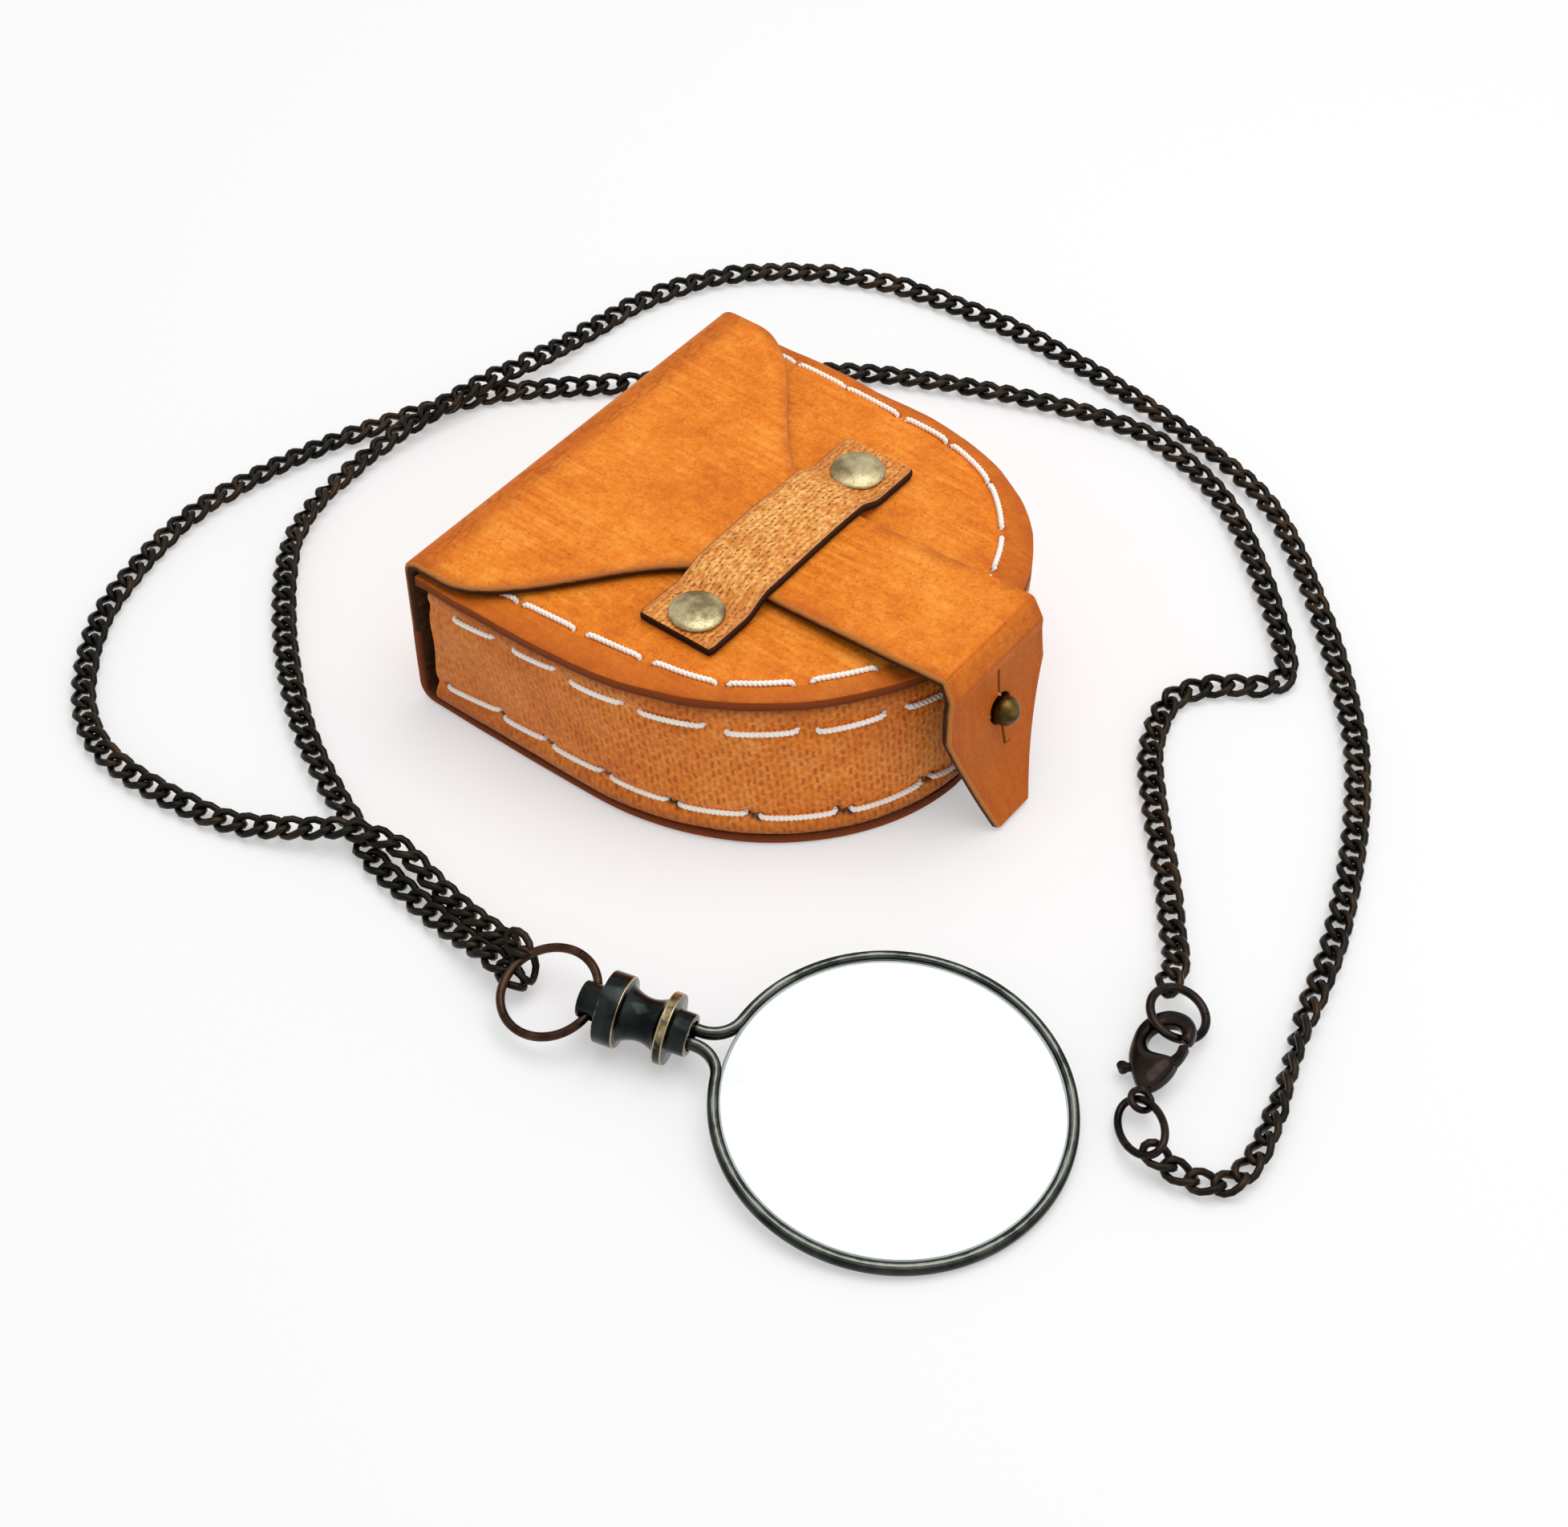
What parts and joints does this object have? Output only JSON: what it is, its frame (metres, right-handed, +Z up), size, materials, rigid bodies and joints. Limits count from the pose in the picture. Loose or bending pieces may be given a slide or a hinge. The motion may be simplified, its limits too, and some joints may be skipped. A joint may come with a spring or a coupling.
{
  "type": "hand lens with neck chain and leather case",
  "caption": "Round wire-rimmed hand lens with a turned spool handle and ring on a curb neck chain with lobster clasp, lying by its D-shaped stitched leather case.",
  "frame": {"origin": "centre of the case's flat underside, on the table", "axes": "+X from the case's folded spine to its closing tab, +Y along the spine away from the lens, +Z up"},
  "size_m": [0.2159, 0.1824, 0.0324],
  "materials": {
    "tan_leather": "vegetable-tanned hide, orange tan, waxed, burnished dark edges",
    "gusset_leather": "thinner hide, browner, fine grain",
    "keeper_leather": "coarse-grained hide with blackened edges",
    "aged_brass": "aged olive brass",
    "clear_glass": "polished",
    "blackened_wire": "blackened steel wire",
    "blackened_brass": "black oxide, worn to brass on its edges",
    "solder": "soft solder",
    "brown_copper": "dark brown copper",
    "chain_bronze": "blackened bronze",
    "black_plate": "glossy black plate"
  },
  "bodies": {
    "case": {"back_panel": "tan_leather", "front_panel": "tan_leather", "gusset": "gusset_leather", "strap_keeper": "keeper_leather", "rivet_cap_near": "aged_brass", "rivet_cap_far": "aged_brass", "rivet_post_near": "aged_brass", "rivet_post_far": "aged_brass", "closing_stud": "aged_brass", "stud_screw": "aged_brass"},
    "spine": {"spine_strip": "tan_leather"},
    "flap": {"cover_flap": "tan_leather", "tongue_strap": "tan_leather"},
    "tab": {"closing_tab": "tan_leather"},
    "neck_chain": {"bail_ring": "brown_copper", "middle_link": "chain_bronze", "chain_left": "chain_bronze", "chain_right": "chain_bronze", "upper_end_link": "chain_bronze", "lower_end_link": "chain_bronze", "upper_jump_ring": "black_plate", "lower_jump_ring": "black_plate", "clasp_body": "black_plate", "clasp_pin": "black_plate", "clasp_spring": "black_plate"},
    "lens": {"lens_glass": "clear_glass", "lens_rim": "blackened_wire", "handle_spool": "blackened_brass", "solder_fill": "solder"},
    "lever": {"clasp_lever": "black_plate"}
  },
  "joints": [
    {"name": "spine_fold", "type": "hinge", "parent": "case", "child": "spine", "pos_m": [-0.0408, 0, 0], "axis": [0, -1, 0], "range_deg": [0, 60], "deforming": ["tongue_strap", "closing_tab"]},
    {"name": "flap_fold", "type": "hinge", "parent": "spine", "child": "flap", "pos_m": [-0.0408, 0, 0.0303], "axis": [0, -1, 0], "range_deg": [0, 120], "deforming": ["tongue_strap", "closing_tab"]},
    {"name": "tab_fold", "type": "hinge", "parent": "flap", "child": "tab", "pos_m": [0.043, 0, 0.0321], "axis": [0, -1, 0], "range_deg": [0, 90], "deforming": ["closing_tab"]},
    {"name": "chain_lift", "type": "slide", "parent": "case", "child": "neck_chain", "axis": [0, 0, 1], "range_m": [0, 0.15]},
    {"name": "lens_swing", "type": "hinge", "parent": "neck_chain", "child": "lens", "pos_m": [0.0248, -0.0727, 0.00619], "axis": [0.2698, -0.9347, -0.2312], "range_deg": [0, 100]},
    {"name": "lever_press", "type": "hinge", "parent": "neck_chain", "child": "lever", "pos_m": [0.0938, -0.03111, 0.00341], "axis": [-0.2941, -0.095, 0.9511], "range_deg": [0, 18], "stiffness_Nm_per_rad": 0.01, "deforming": ["clasp_spring"]}
  ]
}
